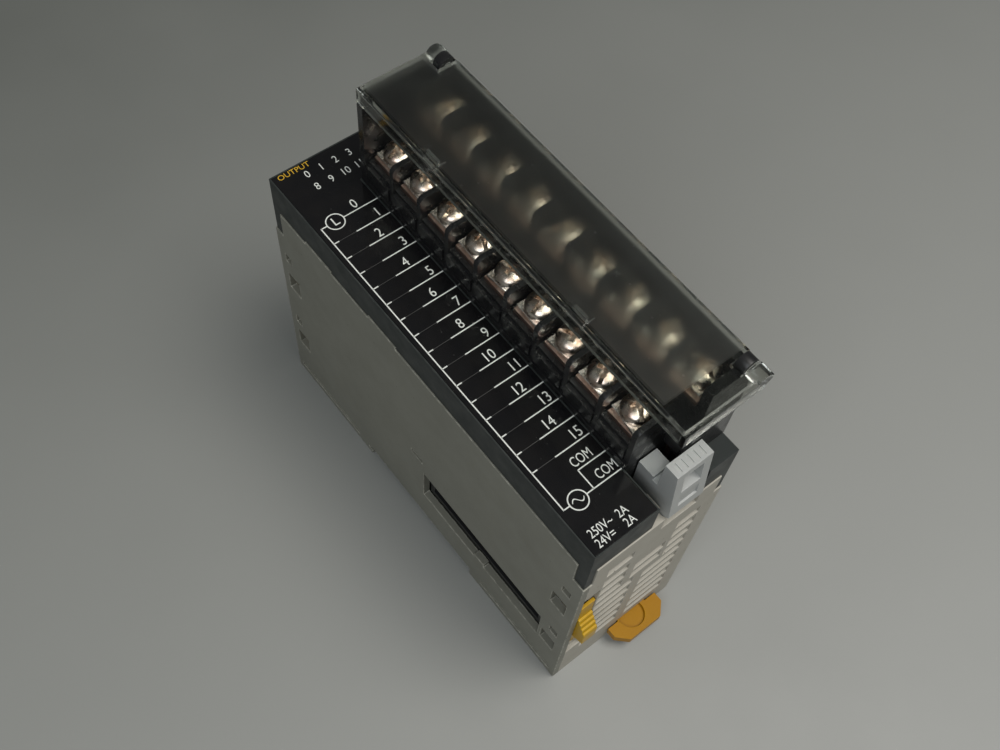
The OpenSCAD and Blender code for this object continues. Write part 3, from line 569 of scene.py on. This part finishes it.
# The slot stops this far inside the rim
SLOT_INSET = 0.25
CROSS_W = 0.84
CROSS_L = 2.9
CROSS_DEPTH = 1.25
RECESS_TOP = 1.0
SCREW_EDGE = 0.07
# Edges of a screw that turn more than this are rounded
RECESS_ANGLE = math.radians(35)
# Edges that turn more than this are shaded as sharp
SHARP_ANGLE = math.radians(32)


def mesh_of(bm, name):
    mesh = bpy.data.meshes.new(name)
    bm.to_mesh(mesh)
    bm.free()
    return mesh


def add_box(bm, low, high):
    """A box between two corners, in millimetres."""
    size = Vector(high) - Vector(low)
    middle = (Vector(high) + Vector(low)) / 2
    bmesh.ops.create_cube(bm, size=1.0, matrix=Matrix.Translation(middle) @ Matrix.Diagonal((*size, 1.0)))


def lathe(profile, steps):
    """A solid of revolution around Z from a profile of radius and height."""
    bm = bmesh.new()
    points = [bm.verts.new((radius, 0.0, height)) for radius, height in profile]
    lines = [bm.edges.new(pair) for pair in zip(points, points[1:])]
    bmesh.ops.spin(bm, geom=points + lines, axis=(0, 0, 1), cent=(0, 0, 0), angle=math.tau, steps=steps)
    bmesh.ops.remove_doubles(bm, verts=bm.verts, dist=SEAM)
    bmesh.ops.recalc_face_normals(bm, faces=bm.faces)
    return bm


def carved(solid, cutter, bevel_width):
    """The mesh that is left when a cutter is taken from a solid, with its edges rounded."""
    holders = [bpy.data.objects.new("solid", solid), bpy.data.objects.new("cutter", cutter)]
    for holder in holders:
        bpy.context.scene.collection.objects.link(holder)
    cut = holders[0].modifiers.new("cut", "BOOLEAN")
    cut.operation = "DIFFERENCE"
    cut.solver = "EXACT"
    cut.use_self = True
    cut.object = holders[1]
    bevel = holders[0].modifiers.new("bevel", "BEVEL")
    bevel.width = bevel_width
    bevel.segments = 2
    bevel.limit_method = "ANGLE"
    bevel.angle_limit = RECESS_ANGLE
    graph = bpy.context.evaluated_depsgraph_get()
    mesh = bpy.data.meshes.new_from_object(holders[0].evaluated_get(graph))
    for holder in holders:
        bpy.data.objects.remove(holder)
    return mesh


def screw_mesh():
    """Domed screw head with a slot and a cross recess, in millimetres, its seat at z = 0."""
    radius, height, shank_end = HEAD_R / MM, HEAD_H / MM, -SHANK_L / MM
    angles = [DOME_TURN * i for i in range(DOME_STEPS)]
    rises = [RIM_SHARE + (1 - RIM_SHARE) * math.sin(angle) for angle in angles]
    dome = [(radius * math.cos(angle), height * rise) for angle, rise in zip(angles, rises)]
    profile = [(0, shank_end), (SHANK_R, shank_end), (SHANK_R, 0), (radius, 0), *dome, (0, height)]
    solid = lathe(profile, SCREW_STEPS)
    cutter = bmesh.new()
    arms = (
        (2 * (radius - SLOT_INSET), SLOT_W, SLOT_DEPTH),
        (CROSS_W, CROSS_L, CROSS_DEPTH),
        (CROSS_L, CROSS_W, CROSS_DEPTH),
    )
    for length, width, depth in arms:
        low = (-length / 2, -width / 2, height - depth)
        add_box(cutter, low, (length / 2, width / 2, height + RECESS_TOP))
    return carved(mesh_of(solid, "screw"), mesh_of(cutter, "recess"), SCREW_EDGE)


def make_screw_row(name, row, node, screw):
    """One mesh of the screws of a row, each turned by chance."""
    bm = bmesh.new()
    for place in row:
        copy = screw.copy()
        turn = Matrix.Rotation(random.uniform(0.0, math.pi), 4, "Z")
        copy.transform(Matrix.Translation(place) @ turn @ Matrix.Scale(MM, 4))
        bm.from_mesh(copy)
        bpy.data.meshes.remove(copy)
    mesh = mesh_of(bm, name)
    mesh.shade_smooth()
    mesh.set_sharp_from_angle(angle=SHARP_ANGLE)
    mesh.materials.clear()
    mesh.materials.append(MATERIALS["screw_metal"])
    made = bpy.data.objects.new(name, mesh)
    bpy.context.scene.collection.objects.link(made)
    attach(made, "terminal_block")
    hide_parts(node)


def make_screws():
    screw = screw_mesh()
    make_screw_row("lower_screw_heads", LOWER_ROW, "lower_screws", screw)
    make_screw_row("upper_screw_heads", UPPER_ROW, "upper_screws", screw)


# ---------------------------------------------------------------- print on the label

INK_LIFT = 0.01 * MM
INK_DEPTH = 0.02 * MM
# Height of a capital as a share of its font size
CAPITAL = 0.69
OUTPUTS = 16
LINES = sorted((place.y for place in LOWER_ROW + UPPER_ROW), reverse=True)
LEFT = LABEL_LOW.x
# Columns of the wiring diagram
BUS_X = LEFT + 0.95 * MM
TICK_X = BUS_X + 1.1 * MM
CIRCLE_X = LEFT + 3.9 * MM
CIRCLE_R = 1.8 * MM
START_X = CIRCLE_X + CIRCLE_R
LINK_X = LEFT + 7.1 * MM
EVEN_X = LEFT + 8.7 * MM
ODD_X = LEFT + 11.05 * MM
END_X = LEFT + 12.85 * MM
LINE_W = 0.22 * MM
FAINT_W = 0.1 * MM
# Numerals and words over the lines: how far up, how high, and how narrow
RISE = 1.35 * MM
NUMERAL_H = 1.95 * MM
NUMERAL_W = 0.85
COMMON_H = 0.9 * NUMERAL_H
COMMON_W = 0.7
COMMON_X = (EVEN_X + 0.2 * MM, EVEN_X + 2.1 * MM)
# Signs in the two circles
LETTER_H = 1.8 * MM
WAVE_L = 2.3 * MM
WAVE_SWING = 0.5 * MM
# Numbers over the lamps
LAMP_H = 1.6 * MM
LAMP_INSET_X = 1.6 * MM
LAMP_INSET_Y = 1.5 * MM
# Lines of ratings under the diagram
RATINGS = ("250V~  2A", "24V=    2A")
RATING_X = LEFT + 5.2 * MM
RATING_DROP = 5.5 * MM
RATING_STEP = 1.9 * MM
RATING_H = 1.5 * MM
RATING_W = 0.8
TITLE_X = LEFT + 4.2 * MM
TITLE_DROP = 0.85 * MM
TITLE_H = 1.15 * MM


class Print:
    """Flat shapes of one ink, gathered into one thin mesh on the label."""

    def __init__(self, name, colour):
        self.name = name
        self.colour = colour
        self.bm = bmesh.new()

    def bar(self, x0, y0, x1, y1):
        corners = ((x0, y0), (x1, y0), (x1, y1), (x0, y1))
        self.bm.faces.new([self.bm.verts.new((*corner, 0.0)) for corner in corners])

    def across(self, x0, x1, y, width):
        self.bar(x0, y - width / 2, x1, y + width / 2)

    def upright(self, x, y0, y1, width):
        self.bar(x - width / 2, y0, x + width / 2, y1)

    def ring(self, x, y, radius, width, steps=40):
        rims = ([], [])
        for i in range(steps):
            angle = math.tau * i / steps
            way = Vector((math.cos(angle), math.sin(angle), 0.0))
            for rim, reach in zip(rims, (radius, radius - width)):
                rim.append(self.bm.verts.new(Vector((x, y, 0.0)) + way * reach))
        outer, inner = rims
        for i in range(steps):
            j = (i + 1) % steps
            self.bm.faces.new((outer[i], outer[j], inner[j], inner[i]))

    def wave(self, x, y, length, swing, width, steps=18):
        """One period of a sine wave."""
        ends = []
        for i in range(steps + 1):
            middle = y + swing * math.sin(math.tau * i / steps)
            across = x + length * (i / steps - 0.5)
            pair = [self.bm.verts.new((across, middle + side * width / 2, 0.0)) for side in (-1, 1)]
            if ends:
                self.bm.faces.new((ends[0], pair[0], pair[1], ends[1]))
            ends = pair

    def words(self, text, x, y, height, width=1.0):
        """Text with its middle at x and y, its capitals of the given height, narrowed to width."""
        curve = bpy.data.curves.new("glyphs", "FONT")
        curve.body = text
        curve.size = height / CAPITAL
        curve.align_x = "CENTER"
        curve.align_y = "CENTER"
        curve.resolution_u = 3
        holder = bpy.data.objects.new("glyphs", curve)
        mesh = bpy.data.meshes.new_from_object(holder)
        mesh.transform(Matrix.Translation((x, y, 0.0)) @ Matrix.Diagonal((width, 1.0, 1.0, 1.0)))
        self.bm.from_mesh(mesh)
        bpy.data.objects.remove(holder)
        bpy.data.curves.remove(curve)
        bpy.data.meshes.remove(mesh)

    def finish(self):
        """Gives the shapes their thickness and puts them on the label."""
        for vert in self.bm.verts:
            vert.co.z = LABEL_HIGH.z + INK_LIFT
        top = bmesh.ops.extrude_face_region(self.bm, geom=self.bm.faces[:])["geom"]
        for vert in top:
            if isinstance(vert, bmesh.types.BMVert):
                vert.co.z += INK_DEPTH
        bmesh.ops.recalc_face_normals(self.bm, faces=self.bm.faces)
        mesh = mesh_of(self.bm, self.name)
        mesh.materials.clear()
        mesh.materials.append(ink(self.name, self.colour))
        made = bpy.data.objects.new(self.name, mesh)
        bpy.context.scene.collection.objects.link(made)
        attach(made, "module")


def print_diagram(white, faint):
    """Sixteen outputs and two commons, a line to each terminal, joined to a supply circle by a bus line."""
    for i, y in enumerate(LINES):
        white.across(LINK_X if i == OUTPUTS else START_X, END_X, y, LINE_W)
        if i < OUTPUTS:
            white.words(str(i), ODD_X if i % 2 else EVEN_X, y + RISE, NUMERAL_H, NUMERAL_W)
        if 0 < i < OUTPUTS:
            white.across(BUS_X, TICK_X, y, LINE_W)
            faint.across(TICK_X, START_X, y, FAINT_W)
    for x, y in zip(COMMON_X, LINES[OUTPUTS:]):
        white.words("COM", x, y + RISE, COMMON_H, COMMON_W)
    white.upright(LINK_X, LINES[-1], LINES[OUTPUTS], LINE_W)
    white.upright(BUS_X, LINES[-1] - LINE_W / 2, LINES[0] + LINE_W / 2, LINE_W)
    for y in (LINES[0], LINES[-1]):
        white.across(BUS_X, CIRCLE_X - CIRCLE_R, y, LINE_W)
        white.ring(CIRCLE_X, y, CIRCLE_R, LINE_W)
    white.words("L", CIRCLE_X, LINES[0], LETTER_H)
    white.wave(CIRCLE_X, LINES[-1], WAVE_L, WAVE_SWING, LINE_W)


def print_numbers(white):
    """Numbers over the lamps, in two rows of eight."""
    columns = OUTPUTS // 2
    first = GUIDE_LOW.x + LAMP_INSET_X
    step = (GUIDE_HIGH.x - GUIDE_LOW.x - 2 * LAMP_INSET_X) / (columns - 1)
    rows = (GUIDE_HIGH.y - LAMP_INSET_Y, GUIDE_LOW.y + LAMP_INSET_Y)
    for i in range(OUTPUTS):
        white.words(str(i), first + (i % columns) * step, rows[i // columns], LAMP_H, NUMERAL_W)


def make_print():
    white = Print("ink_white", (0.80, 0.82, 0.78))
    faint = Print("ink_faint", (0.05, 0.05, 0.048))
    yellow = Print("ink_yellow", (0.70, 0.42, 0.03))
    print_diagram(white, faint)
    print_numbers(white)
    for row, rating in enumerate(RATINGS):
        white.words(rating, RATING_X, LINES[-1] - RATING_DROP - row * RATING_STEP, RATING_H, RATING_W)
    yellow.words("OUTPUT", TITLE_X, LABEL_HIGH.y - TITLE_DROP, TITLE_H)
    for ink_print in (white, faint, yellow):
        ink_print.finish()


make_camera()
make_lights()
make_floor()
dress_nodes()
make_screws()
make_print()
